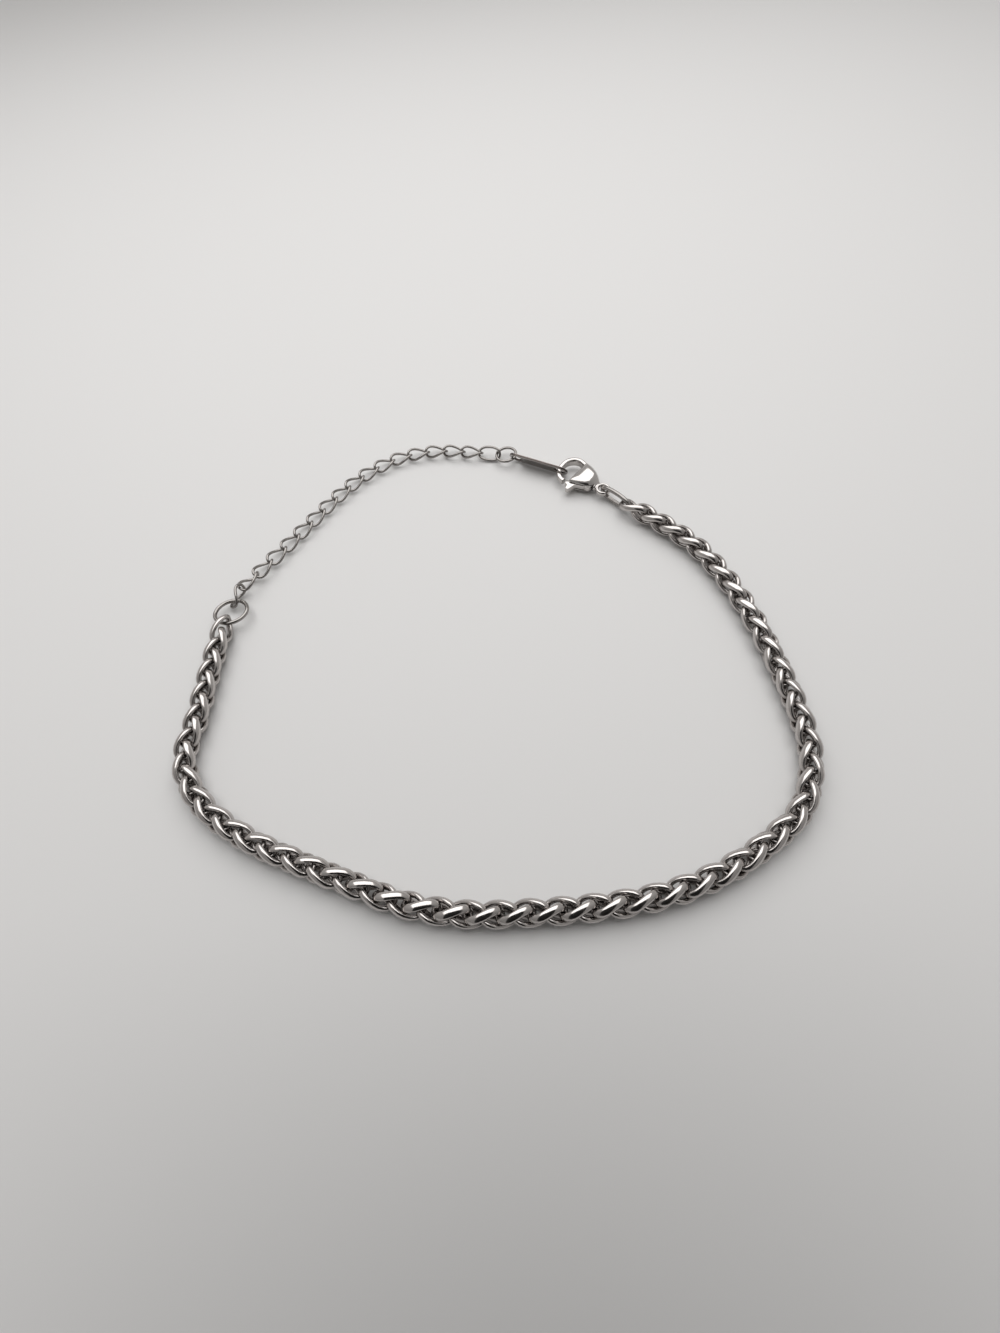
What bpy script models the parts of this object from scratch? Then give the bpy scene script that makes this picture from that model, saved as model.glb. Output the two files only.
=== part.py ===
# Bracelet of polished steel: a wheat chain with a curb extender, a bare tag and a lobster clasp.
# It lies fastened on a table. +X is the photograph's right, +Y away from the viewer, +Z up.
# Sizes are in metres, written as millimetres times MM.

import bpy
import bmesh
from math import cos, sin, pi, radians
from mathutils import Matrix, Vector

MM = 0.001
UP = Vector((0.0, 0.0, 1.0))

# Wheat chain: oval links twisted a quarter turn, right-handed and left-handed in turn
CHAIN_LINKS = 92
CHAIN_WIDTH = 3.2 * MM
CHAIN_WIRE = 0.76 * MM
CHAIN_HEIGHT = 1.53 * MM
CHAIN_LINK_BITE = 0.08 * MM
LINK_FULLNESS = 0.83
CHAIN_SECTIONS = 10
CHAIN_SIDES = 5
# The first and last link reach further, round the ring and the end link
CHAIN_END_REACH = 0.4 * MM
# The drop of solder that joins the strands, and the links before it
SOLDER_RADIUS = 0.35 * MM
SOLDER_AT = 2.5
# A wire with few sides is drawn a little thicker, to be as thick as the round one
WIRE_FACTOR = 1.06

# The chain's centre line in the plan, millimetres: x, y
CHAIN_ROUTE = (
    (-33.4, 8.7),
    (-33.9, 6.3),
    (-34.45, 0.7),
    (-34.95, -6.01),
    (-35.5, -12.42),
    (-32.44, -17.83),
    (-26.85, -22.18),
    (-20.8, -25.3),
    (-14.84, -28.06),
    (-8.68, -30.75),
    (-2.21, -32.25),
    (4.4, -32.65),
    (11.1, -32.7),
    (17.82, -32.2),
    (24.23, -30.69),
    (30.33, -27.94),
    (35.73, -24.09),
    (38.54, -18.07),
    (38.8, -11.4),
    (38.2, -4.7),
    (37.2, 1.82),
    (35.44, 8.35),
    (32.67, 14.41),
    (28.41, 19.5),
    (24, 23.7),
)

# How far the weave is rolled about the centre line: millimetres along it, degrees
CHAIN_ROLL = (
    (0.0, 122.0),
    (18.0, 126.0),
    (23.0, 126.0),
    (29.0, 118.0),
    (35.0, 129.0),
    (42.0, 137.0),
    (47.0, 146.0),
    (52.0, 159.0),
    (57.0, 176.0),
    (62.0, 194.0),
    (67.0, 199.0),
    (78.0, 197.0),
    (84.0, 201.0),
    (89.0, 210.0),
    (94.0, 217.0),
    (100.0, 212.0),
    (110.0, 213.0),
    (117.0, 206.0),
    (121.0, 191.0),
    (125.0, 178.0),
    (131.0, 157.0),
    (136.0, 146.0),
    (141.0, 140.0),
    (153.0, 134.0),
)

# Curb extender: oval links twisted a quarter turn, all the same way
EXTENDER_LINKS = 18
EXTENDER_WIDTH = 2.6 * MM
EXTENDER_WIRE = 0.4 * MM
EXTENDER_LINK_GAP = 0.12 * MM
# The last link is nearly flat, the others turn a quarter the other way
EXTENDER_TWIST = -90.0
EXTENDER_LAST_TWIST = 30.0
EXTENDER_SECTIONS = 12
EXTENDER_SIDES = 5

# The extender's centre line, millimetres: x, y, z
EXTENDER_ROUTE = (
    (-33.3, 10.7, 0.85),
    (-32.8, 12.9, 1.3),
    (-32.0, 14.2, 1.4),
    (-31.0, 15.4, 1.25),
    (-30.0, 17.0, 1.1),
    (-26.5, 21.8, 0.9),
    (-23.0, 26.5, 0.9),
    (-19.4, 31.2, 0.9),
    (-15.2, 35.4, 0.9),
    (-10.0, 38.4, 0.9),
    (-4.2, 39.3, 0.9),
    (1.5, 38.4, 0.95),
    (6.7, 37.0, 1.05),
)

# How far its links are rolled about the centre line: links before it, degrees
EXTENDER_ROLL = (
    (0, -70.0),
    (1, -27.0),
    (2, -8.0),
    (3, 0.0),
    (16, 0.0),
    (17, 45.0),
)

# Split ring between the main chain and the extender, lower on the extender's side
BIG_RING_DIAMETER = 4.95 * MM
BIG_RING_WIRE = 0.55 * MM
BIG_RING_CENTRE = Vector((-33.2, 9.75, 1.37)) * MM
BIG_RING_TILT = 9.0
BIG_RING_SPLIT = 0.15 * MM
BIG_RING_SPLIT_AT = 50.0

SMALL_RING_DIAMETER = 3.6 * MM
SMALL_RING_WIRE = 0.45 * MM
SMALL_RING_CENTRE = Vector((7.5, 36.75, 1.2)) * MM
SMALL_RING_TILT = 6.0
RING_SECTIONS = 16
RING_SIDES = 6
RING_WIRE_FACTOR = 1.05

# Tag: a thin bar with round ends, standing on its edge and leaning to the viewer
TAG_LENGTH = 10.0 * MM
TAG_WIDTH = 2.6 * MM
TAG_THICKNESS = 0.4 * MM
TAG_HOLE = 1.8 * MM
TAG_EDGE = 0.08 * MM
TAG_END_STEPS = 8
TAG_HOLE_SIDES = 14
TAG_TIP = Vector((8.1, 36.4, 1.27)) * MM
TAG_TURN = -29.8
TAG_LEAN = 30.0

# Lobster clasp in its own plan: x from the eye to the head, y to the lever's side
CLASP_EYE = Vector((21.66, 26.99, 1.27)) * MM
CLASP_TURN = 135.8
EYE_RADIUS = 1.2 * MM
EYE_HOLE = 0.65 * MM
EYE_HEIGHT = 0.8 * MM
BODY_THICKNESS = 2.4 * MM
# The neck grows into the body between these distances from the eye
NECK_THICKNESS = 0.9 * MM
NECK_START = 0.8 * MM
NECK_END = 2.6 * MM
HOOK_WIDTH = 0.75 * MM
HOOK_THICKNESS = 1.0 * MM
HOOK_BEVEL = 0.2 * MM
HOOK_SECTIONS = 12
SLOT_HEIGHT = 1.1 * MM
PIVOT = Vector((2.35, 0.75, 0.0)) * MM
PIN_RADIUS = 0.35 * MM
PIN_GRIP = 0.2 * MM
PIN_SIDES = 12
LEVER_THICKNESS = 0.84 * MM
LEVER_BORE = 0.48 * MM
# The round boss, and the part of a turn it shows, degrees
LEVER_BOSS = 0.75 * MM
BOSS_START = -20
BOSS_END = -290
BOSS_STEPS = 9

# The clasp body's middle and its outline in its plan, the outline in millimetres
BODY_MIDDLE = Vector((3.0, -0.2)) * MM
BODY_OUTLINE = (
    (0.8, 0.4),
    (0.8, -0.4),
    (1.2, -0.85),
    (1.8, -1.4),
    (2.6, -1.95),
    (3.5, -2.4),
    (4.3, -2.65),
    (4.85, -2.7),
    (5.1, -2.4),
    (5.1, 1.9),
    (4.85, 2.2),
    (4.3, 2.15),
    (3.5, 1.95),
    (2.6, 1.6),
    (1.8, 1.2),
    (1.2, 0.8),
)

# The body's faces round over: share of its half thickness, millimetres drawn in
BODY_LAYERS = (
    (1.0, 0.75),
    (0.93, 0.4),
    (0.75, 0.13),
    (0.45, 0.0),
)

# The hook's centre line, from inside the body round the head to the tip
HOOK_ROUTE = (
    (4.4, -2.25),
    (5.3, -2.5),
    (6.3, -2.7),
    (7.2, -2.35),
    (7.85, -1.5),
    (8.0, -0.3),
    (7.8, 0.8),
    (7.1, 1.75),
    (6.4, 2.15),
    (5.85, 2.25),
)

# The pocket that the lever turns in
SLOT_OUTLINE = (
    (1.3, 4.0),
    (1.3, 0.75),
    (1.45, 0.2),
    (1.9, -0.25),
    (2.4, -0.35),
    (5.5, -1.1),
    (5.5, 4.0),
)

# The lever's arm, nose and thumb tab, from the boss and back to it
LEVER_OUTLINE = (
    (2.75, 1.6),
    (3.6, 1.9),
    (3.8, 2.1),
    (3.95, 3.4),
    (4.45, 3.45),
    (4.75, 2.75),
    (5.4, 2.6),
    (5.5, 2.1),
    (4.6, 1.55),
    (3.7, 1.0),
    (3.1, 0.55),
)

END_LINK_WIDTH = 2.75 * MM
END_LINK_WIRE = 0.68 * MM
END_LINK_SECTIONS = 14
# How far past the middle of the chain's last opening it reaches
END_LINK_SINK = 0.12 * MM

STEEL = (0.62, 0.60, 0.59, 1.0)
ROUGHNESS = 0.18
# Edges sharper than this are shaded sharp, degrees
SHARP_ANGLE = 50.0


def clear_scene():
    for thing in list(bpy.data.objects):
        bpy.data.objects.remove(thing, do_unlink=True)


def steel_material(name, roughness):
    material = bpy.data.materials.new(name)
    material.use_nodes = True
    shader = material.node_tree.nodes["Principled BSDF"]
    shader.inputs["Base Color"].default_value = STEEL
    shader.inputs["Metallic"].default_value = 1.0
    shader.inputs["Roughness"].default_value = roughness
    return material


def add_object(name, bm, material):
    bmesh.ops.recalc_face_normals(bm, faces=bm.faces)
    mesh = bpy.data.meshes.new(name)
    bm.to_mesh(mesh)
    bm.free()
    mesh.materials.append(material)
    mesh.shade_smooth()
    mesh.set_sharp_from_angle(angle=radians(SHARP_ANGLE))
    thing = bpy.data.objects.new(name, mesh)
    bpy.context.scene.collection.objects.link(thing)
    return thing


def combine(thing, tool, operation, crosses_itself=False):
    # The tool's shape is added to or cut from the thing; the tool itself stays hidden
    tool.hide_render = True
    tool.display_type = 'WIRE'
    modifier = thing.modifiers.new(tool.name, 'BOOLEAN')
    modifier.operation = operation
    modifier.solver = 'EXACT'
    modifier.use_self = crosses_itself
    modifier.object = tool


# Routes

class Route:
    # A smooth curve through the given points, read by its length
    def __init__(self, points, steps=40):
        ends = [points[0] * 2 - points[1]] + points + [points[-1] * 2 - points[-2]]
        self.points = []
        for a, b, c, d in zip(ends, ends[1:], ends[2:], ends[3:]):
            for step in range(steps):
                t = step / steps
                self.points.append(0.5 * (
                    2 * b + (c - a) * t + (2 * a - 5 * b + 4 * c - d) * t ** 2
                    + (3 * b - a - 3 * c + d) * t ** 3))
        self.points.append(points[-1])
        self.lengths = [0.0]
        for a, b in zip(self.points, self.points[1:]):
            self.lengths.append(self.lengths[-1] + (b - a).length)
        self.length = self.lengths[-1]

    def point(self, s):
        # Straight on past either end
        if s <= 0.0:
            start = (self.points[1] - self.points[0]).normalized()
            return self.points[0] + start * s
        if s >= self.length:
            end = (self.points[-1] - self.points[-2]).normalized()
            return self.points[-1] + end * (s - self.length)
        low, high = 0, len(self.lengths) - 1
        while high - low > 1:
            middle = (low + high) // 2
            if self.lengths[middle] <= s:
                low = middle
            else:
                high = middle
        part = (s - self.lengths[low]) / (self.lengths[high] - self.lengths[low])
        return self.points[low].lerp(self.points[high], part)

    def frame(self, s, reach=0.4 * MM):
        # Place, direction, left and up
        along = (self.point(s + reach) - self.point(s - reach)).normalized()
        left = UP.cross(along).normalized()
        return self.point(s), along, left, along.cross(left)


def read_table(rows, s):
    # Straight between the rows of a table of places and values
    if s <= rows[0][0]:
        return rows[0][1]
    for (s0, v0), (s1, v1) in zip(rows, rows[1:]):
        if s <= s1:
            part = (s - s0) / (s1 - s0)
            return v0 + (v1 - v0) * part
    return rows[-1][1]


# Wire

def wire_rings(bm, centres, radius, sides, closed, turn):
    # One ring of vertices for each section, square to the wire, turned alike about the loop's middle
    middle = sum(centres, Vector()) / len(centres)
    rings = []
    last = len(centres) - 1
    for i, centre in enumerate(centres):
        before = centres[i - 1] if closed or i > 0 else centre
        after = centres[(i + 1) % len(centres)] if closed or i < last else centre
        along = (after - before).normalized()
        out = centre - middle
        out = (out - along * out.dot(along)).normalized()
        side = along.cross(out)
        ring = []
        for k in range(sides):
            angle = turn + 2 * pi * k / sides
            ring.append(bm.verts.new(centre + (out * cos(angle) + side * sin(angle)) * radius))
        rings.append(ring)
    return rings


def skin_rings(bm, rings, closed):
    pairs = list(zip(rings, rings[1:]))
    if closed:
        pairs.append((rings[-1], rings[0]))
    for a, b in pairs:
        for k in range(len(a)):
            j = (k + 1) % len(a)
            bm.faces.new((a[k], a[j], b[j], b[k]))
    if not closed:
        bm.faces.new(reversed(rings[0]))
        bm.faces.new(rings[-1])


def add_wire_loop(bm, centres, wire, sides):
    # A flat of the wire faces out and an edge faces in, where the next link bears
    radius = 0.5 * wire * WIRE_FACTOR
    skin_rings(bm, wire_rings(bm, centres, radius, sides, True, pi / sides), True)


def fuller(value):
    # Rounds an ellipse out towards a rounded oblong
    size = abs(value) ** LINK_FULLNESS
    return size if value >= 0.0 else -size


def twisted_oval(place, half_length, half_width, sections, start_turn, twist):
    # Centre line of an oval link round an axis; place(along, across, turn) sets its points
    centres = []
    for i in range(sections):
        angle = 2 * pi * (i + 0.5) / sections
        along = half_length * fuller(cos(angle))
        across = half_width * fuller(sin(angle))
        turn = start_turn + twist * 0.5 * (along / half_length)
        centres.append(place(along, across, turn))
    return centres


def on_route(route, s):
    def place(along, across, turn):
        point, _, left, up = route.frame(s + along)
        return point + (left * cos(turn) + up * sin(turn)) * across
    return place


# Main chain

def chain_pitch(route):
    # The whole chain is its links' steps and one more link's length
    return (route.length - 2 * CHAIN_WIRE) / (CHAIN_LINKS + 1)


def chain_link_centres(route, number, pitch):
    half_length = 0.5 * (2 * pitch + CHAIN_WIRE)
    s = half_length + 0.5 * CHAIN_WIRE + pitch * number
    roll = radians(read_table(CHAIN_ROLL, s / MM))
    half_width = 0.5 * (CHAIN_WIDTH - CHAIN_WIRE)
    quarter = pi / 2
    turn = roll if number % 2 == 0 else roll + quarter
    twist = quarter if number % 2 == 0 else -quarter
    if number == 0:
        half_length += 0.5 * CHAIN_END_REACH
        s -= 0.5 * CHAIN_END_REACH
    elif number == CHAIN_LINKS - 1:
        half_length += 0.5 * CHAIN_END_REACH
        s += 0.5 * CHAIN_END_REACH
    reach = (half_length - 0.5 * CHAIN_LINK_BITE) / cos(pi / CHAIN_SECTIONS)
    return twisted_oval(on_route(route, s), reach, half_width, CHAIN_SECTIONS, turn, twist)


def chain_strand(name, route, first, material):
    # Every second link; each strand's links bear on one another
    bm = bmesh.new()
    pitch = chain_pitch(route)
    for number in range(first, CHAIN_LINKS, 2):
        add_wire_loop(bm, chain_link_centres(route, number, pitch), CHAIN_WIRE, CHAIN_SIDES)
    if first == 0:
        # A drop of solder joins the two strands into one piece
        s = SOLDER_AT * pitch + CHAIN_WIRE
        drop = Matrix.Translation(route.point(s))
        bmesh.ops.create_icosphere(bm, subdivisions=1, radius=SOLDER_RADIUS, matrix=drop)
    return add_object(name, bm, material)


def build_main_chain(material):
    route = Route([Vector((x, y, CHAIN_HEIGHT / MM)) * MM for x, y in CHAIN_ROUTE])
    chain = chain_strand("main_chain", route, 0, material)
    other = chain_strand("main_chain_second_strand", route, 1, material)
    combine(chain, other, 'UNION', True)
    return [chain, other]


# Extender

def build_extender(material):
    route = Route([Vector(point) * MM for point in EXTENDER_ROUTE])
    overlap = EXTENDER_WIRE + EXTENDER_LINK_GAP
    pitch = (route.length - overlap - EXTENDER_WIRE) / EXTENDER_LINKS
    half_length = 0.5 * (pitch + overlap)
    half_width = 0.5 * (EXTENDER_WIDTH - EXTENDER_WIRE)
    reach = half_length / cos(pi / EXTENDER_SECTIONS)
    links = []
    for number in range(EXTENDER_LINKS):
        s = half_length + 0.5 * EXTENDER_WIRE + pitch * number
        roll = radians(read_table(EXTENDER_ROLL, number))
        last = number == EXTENDER_LINKS - 1
        twist = radians(EXTENDER_LAST_TWIST if last else EXTENDER_TWIST)
        place = on_route(route, s)
        centres = twisted_oval(place, reach, half_width, EXTENDER_SECTIONS, roll, twist)
        bm = bmesh.new()
        add_wire_loop(bm, centres, EXTENDER_WIRE, EXTENDER_SIDES)
        links.append(add_object("extender_link_%02d" % (number + 1), bm, material))
    return links


# Rings

def build_ring(name, diameter, wire, centre, tilt, material, split=0.0, split_at=0.0):
    # A ring of wire; a split one is open by a narrow gap
    radius = 0.5 * (diameter - wire)
    gap = split / radius
    start = radians(split_at) + 0.5 * gap
    steps = RING_SECTIONS if split else RING_SECTIONS - 1
    centres = []
    for i in range(steps + 1):
        angle = start + (2 * pi - gap) * i / RING_SECTIONS
        centres.append(Vector((cos(angle), sin(angle), 0.0)) * radius)
    bm = bmesh.new()
    thickness = 0.5 * wire * RING_WIRE_FACTOR
    rings = wire_rings(bm, centres, thickness, RING_SIDES, not split, 0.0)
    skin_rings(bm, rings, not split)
    bm.transform(Matrix.Translation(centre) @ tilt)
    return add_object(name, bm, material)


def build_rings(material):
    big_tilt = Matrix.Rotation(radians(-BIG_RING_TILT), 4, 'X')
    big = build_ring("big_ring", BIG_RING_DIAMETER, BIG_RING_WIRE, BIG_RING_CENTRE, big_tilt,
                     material, BIG_RING_SPLIT, BIG_RING_SPLIT_AT)
    small_tilt = Matrix.Rotation(radians(-SMALL_RING_TILT), 4, 'Y')
    small = build_ring("small_ring", SMALL_RING_DIAMETER, SMALL_RING_WIRE, SMALL_RING_CENTRE,
                       small_tilt, material)
    return [big, small]


# Tag

def add_plate(bm, outline, low, high):
    # A flat plate between two heights
    rings = []
    for height in (low, high):
        rings.append([bm.verts.new((x, y, height)) for x, y in outline])
    skin_rings(bm, rings, False)


def round_arc(centre, radius, start, end, steps):
    points = []
    for i in range(steps + 1):
        angle = radians(start + (end - start) * i / steps)
        points.append((centre[0] + radius * cos(angle), centre[1] + radius * sin(angle)))
    return points


def build_tag(material):
    end_radius = 0.5 * TAG_WIDTH
    near = end_radius
    far = TAG_LENGTH - end_radius
    outline = round_arc((near, 0.0), end_radius, 90, 270, TAG_END_STEPS)
    outline += round_arc((far, 0.0), end_radius, -90, 90, TAG_END_STEPS)
    bm = bmesh.new()
    add_plate(bm, outline, -0.5 * TAG_THICKNESS, 0.5 * TAG_THICKNESS)
    rims = [e for e in bm.edges if abs(e.verts[0].co.z - e.verts[1].co.z) < TAG_EDGE]
    bmesh.ops.bevel(bm, geom=rims, offset=TAG_EDGE, segments=1, affect='EDGES', profile=0.5)
    place = (Matrix.Translation(TAG_TIP) @ Matrix.Rotation(radians(TAG_TURN), 4, 'Z')
             @ Matrix.Rotation(radians(90 + TAG_LEAN), 4, 'X'))
    bm.transform(place)
    tag = add_object("tag", bm, material)
    things = [tag]
    for name, along in (("tag_hole_near", near), ("tag_hole_far", far)):
        bm = bmesh.new()
        spot = place @ Matrix.Translation((along, 0.0, 0.0))
        bmesh.ops.create_cone(bm, cap_ends=True, segments=TAG_HOLE_SIDES,
                              radius1=0.5 * TAG_HOLE, radius2=0.5 * TAG_HOLE,
                              depth=3 * TAG_THICKNESS, matrix=spot)
        hole = add_object(name, bm, material)
        combine(tag, hole, 'DIFFERENCE')
        things.append(hole)
    return things


# Clasp

def clasp_place():
    return Matrix.Translation(CLASP_EYE) @ Matrix.Rotation(radians(CLASP_TURN), 4, 'Z')


def draw_in(outline, distance):
    # The outline shrunk about the body's middle
    share = 1.0 - distance / BODY_MIDDLE.x
    return [BODY_MIDDLE + (point - BODY_MIDDLE) * share for point in outline]


def neck_share(x):
    # The body grows from the neck's thickness to its own
    part = min(max((x - NECK_START) / (NECK_END - NECK_START), 0.0), 1.0)
    part = part * part * (3 - 2 * part)
    thin = NECK_THICKNESS / BODY_THICKNESS
    return thin + (1.0 - thin) * part


def body_mesh():
    # Outlines stacked from the bottom to the top, drawn in towards both faces
    outline = [Vector((x, y)) * MM for x, y in BODY_OUTLINE]
    half = 0.5 * BODY_THICKNESS
    stack = [(-height, inset) for height, inset in BODY_LAYERS]
    stack += [(height, inset) for height, inset in reversed(BODY_LAYERS)]
    bm = bmesh.new()
    rings = []
    for height, inset in stack:
        ring = []
        for point in draw_in(outline, inset * MM):
            z = height * half * neck_share(point.x)
            ring.append(bm.verts.new((point.x, point.y, z)))
        rings.append(ring)
    skin_rings(bm, rings, False)
    return bm


def hook_mesh():
    # A bar of eight-sided section swept round the head
    route = Route([Vector((x, y, 0.0)) * MM for x, y in HOOK_ROUTE])
    wide = 0.5 * HOOK_WIDTH
    high = 0.5 * HOOK_THICKNESS
    cut = HOOK_BEVEL
    section = ((wide, high - cut), (wide - cut, high), (cut - wide, high), (-wide, high - cut),
               (-wide, cut - high), (cut - wide, -high), (wide - cut, -high), (wide, cut - high))
    bm = bmesh.new()
    rings = []
    for i in range(HOOK_SECTIONS + 1):
        point, _, left, up = route.frame(route.length * i / HOOK_SECTIONS, 0.2 * MM)
        rings.append([bm.verts.new(point + left * a + up * b) for a, b in section])
    skin_rings(bm, rings, False)
    return bm


def eye_mesh():
    # A ring of oval section
    middle = 0.5 * (EYE_RADIUS + EYE_HOLE)
    half_band = 0.5 * (EYE_RADIUS - EYE_HOLE)
    bm = bmesh.new()
    rings = []
    for i in range(RING_SECTIONS):
        angle = 2 * pi * i / RING_SECTIONS
        out = Vector((cos(angle), sin(angle), 0.0))
        ring = []
        for k in range(RING_SIDES):
            turn = 2 * pi * k / RING_SIDES
            point = out * (middle + half_band * cos(turn)) + UP * 0.5 * EYE_HEIGHT * sin(turn)
            ring.append(bm.verts.new(point))
        rings.append(ring)
    skin_rings(bm, rings, True)
    return bm


def slot_mesh():
    bm = bmesh.new()
    outline = [(x * MM, y * MM) for x, y in SLOT_OUTLINE]
    add_plate(bm, outline, -0.5 * SLOT_HEIGHT, 0.5 * SLOT_HEIGHT)
    return bm


def pin_mesh():
    # Reaches a little into both walls of the pocket
    bm = bmesh.new()
    bmesh.ops.create_cone(bm, cap_ends=True, segments=PIN_SIDES, radius1=PIN_RADIUS,
                          radius2=PIN_RADIUS, depth=SLOT_HEIGHT + 2 * PIN_GRIP,
                          matrix=Matrix.Translation(PIVOT))
    return bm


def build_clasp_body(material):
    place = clasp_place()
    bm = body_mesh()
    bm.transform(place)
    body = add_object("clasp_body", bm, material)
    things = [body]
    tools = (
        ("clasp_hook", hook_mesh(), 'UNION'),
        ("clasp_eye", eye_mesh(), 'UNION'),
        ("clasp_slot", slot_mesh(), 'DIFFERENCE'),
        ("clasp_pin", pin_mesh(), 'UNION'),
    )
    for name, bm, operation in tools:
        bm.transform(place)
        tool = add_object(name, bm, material)
        combine(body, tool, operation)
        things.append(tool)
    return things


def build_clasp_lever(material):
    # Modelled about its pivot, so that the piece's origin is on the axis it turns on
    pivot = Vector((PIVOT.x, PIVOT.y))
    arm = [Vector((x, y)) * MM - pivot for x, y in LEVER_OUTLINE]
    boss = round_arc((0.0, 0.0), LEVER_BOSS, BOSS_START, BOSS_END, BOSS_STEPS)
    outline = [(point.x, point.y) for point in arm] + boss
    outline.reverse()
    bm = bmesh.new()
    add_plate(bm, outline, -0.5 * LEVER_THICKNESS, 0.5 * LEVER_THICKNESS)
    turn = Matrix.Rotation(radians(CLASP_TURN), 4, 'Z')
    bm.transform(turn)
    lever = add_object("clasp_lever", bm, material)
    bm = bmesh.new()
    bmesh.ops.create_cone(bm, cap_ends=True, segments=PIN_SIDES, radius1=LEVER_BORE,
                          radius2=LEVER_BORE, depth=2 * LEVER_THICKNESS, matrix=turn)
    bore = add_object("clasp_lever_bore", bm, material)
    combine(lever, bore, 'DIFFERENCE')
    for thing in (lever, bore):
        thing.location = clasp_place() @ PIVOT
    return [lever, bore]


# End link

def build_end_link(material):
    # Stands upright, from the clasp's eye to the middle of the chain's last opening
    chain = Route([Vector((x, y, CHAIN_HEIGHT / MM)) * MM for x, y in CHAIN_ROUTE])
    pitch = chain_pitch(chain)
    last_opening = chain.length - 0.5 * (pitch + CHAIN_WIRE - CHAIN_END_REACH) - END_LINK_SINK
    start = CLASP_EYE
    end = chain.point(last_opening)
    middle = (start + end) / 2
    along = (end - start).normalized()
    side = UP.cross(along).normalized()
    across = along.cross(side)
    half_width = 0.5 * (END_LINK_WIDTH - END_LINK_WIRE)

    def place(a, b, turn):
        return middle + along * a + (across * cos(turn) + side * sin(turn)) * b

    reach = 0.5 * (end - start).length / cos(pi / END_LINK_SECTIONS)
    centres = twisted_oval(place, reach, half_width, END_LINK_SECTIONS, 0.0, 0.0)
    bm = bmesh.new()
    add_wire_loop(bm, centres, END_LINK_WIRE, RING_SIDES)
    return [add_object("end_link", bm, material)]


def stand_on_origin(things):
    # The middle of the whole box goes over the origin and its bottom to zero
    bpy.context.view_layer.update()
    depsgraph = bpy.context.evaluated_depsgraph_get()
    corners = []
    for thing in things:
        if not thing.hide_render:
            box = thing.evaluated_get(depsgraph).bound_box
            corners += [thing.location + Vector(corner) for corner in box]
    low = Vector([min(corner[axis] for corner in corners) for axis in range(3)])
    high = Vector([max(corner[axis] for corner in corners) for axis in range(3)])
    shift = Vector((0.5 * (low.x + high.x), 0.5 * (low.y + high.y), low.z))
    for thing in things:
        thing.location -= shift
    bpy.context.view_layer.update()


def main():
    clear_scene()
    steel = steel_material("polished_steel", 0.18)
    things = build_main_chain(steel)
    things += build_extender(steel)
    things += build_rings(steel)
    things += build_tag(steel)
    things += build_clasp_body(steel)
    things += build_clasp_lever(steel)
    things += build_end_link(steel)
    stand_on_origin(things)


main()
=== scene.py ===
# Polished steel wheat chain bracelet with a curb extender, a bare tag and a lobster clasp
import bpy
import bmesh
from bisect import bisect_right
from math import atan2, cos, hypot, pi, radians, sin
from mathutils import Matrix, Vector


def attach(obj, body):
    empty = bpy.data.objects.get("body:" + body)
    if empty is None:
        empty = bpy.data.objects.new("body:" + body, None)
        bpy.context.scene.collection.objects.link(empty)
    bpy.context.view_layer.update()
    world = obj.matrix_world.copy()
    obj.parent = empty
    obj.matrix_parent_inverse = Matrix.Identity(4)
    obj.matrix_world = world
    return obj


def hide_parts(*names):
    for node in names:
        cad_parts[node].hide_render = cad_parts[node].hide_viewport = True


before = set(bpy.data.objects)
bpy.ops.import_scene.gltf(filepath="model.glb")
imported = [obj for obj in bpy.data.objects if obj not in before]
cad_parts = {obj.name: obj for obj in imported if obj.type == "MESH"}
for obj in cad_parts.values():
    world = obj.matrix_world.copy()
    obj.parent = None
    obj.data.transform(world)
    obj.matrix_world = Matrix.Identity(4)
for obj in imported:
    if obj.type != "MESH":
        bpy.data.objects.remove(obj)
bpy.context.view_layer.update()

mm = 0.001
up = Vector((0.0, 0.0, 1.0))
toFrame = Vector((-1.655, -3.119, 0.035)) * mm  # from the routes' own zero to the frame's
ovalFullness = 0.83  # a link's outline: 1 is an ellipse, and less is nearer an oblong
rimFold = 1.0  # radians; an edge folded by more than this is a plate's rim


# Helpers

def linearColour(hexCode):  # sRGB hex to the linear values that a shader wants
    values = [int(hexCode[i:i + 2], 16) / 255 for i in (1, 3, 5)]
    linear = [v / 12.92 if v <= 0.04045 else ((v + 0.055) / 1.055) ** 2.4 for v in values]
    return (*linear, 1.0)


def addNode(material, kind, inputs, **settings):  # inputs: socket name or number to value or socket
    node = material.node_tree.nodes.new(kind)
    for key, value in settings.items():
        setattr(node, key, value)
    for socket, value in inputs.items():
        if isinstance(value, bpy.types.NodeSocket):
            material.node_tree.links.new(value, node.inputs[socket])
        else:
            node.inputs[socket].default_value = value
    return node


def faceOutwards(bm):  # one closed shell at a time
    bmesh.ops.recalc_face_normals(bm, faces=bm.faces)
    if bm.calc_volume(signed=True) < 0:
        bmesh.ops.reverse_faces(bm, faces=bm.faces)


def raiseFaces(bm, faces):  # extrudes faces and takes the old ones out; gives the new faces and points
    raised = bmesh.ops.extrude_face_region(bm, geom=faces)["geom"]
    bmesh.ops.delete(bm, geom=faces, context='FACES_ONLY')
    newFaces = [part for part in raised if isinstance(part, bmesh.types.BMFace)]
    return newFaces, [part for part in raised if isinstance(part, bmesh.types.BMVert)]


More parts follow.
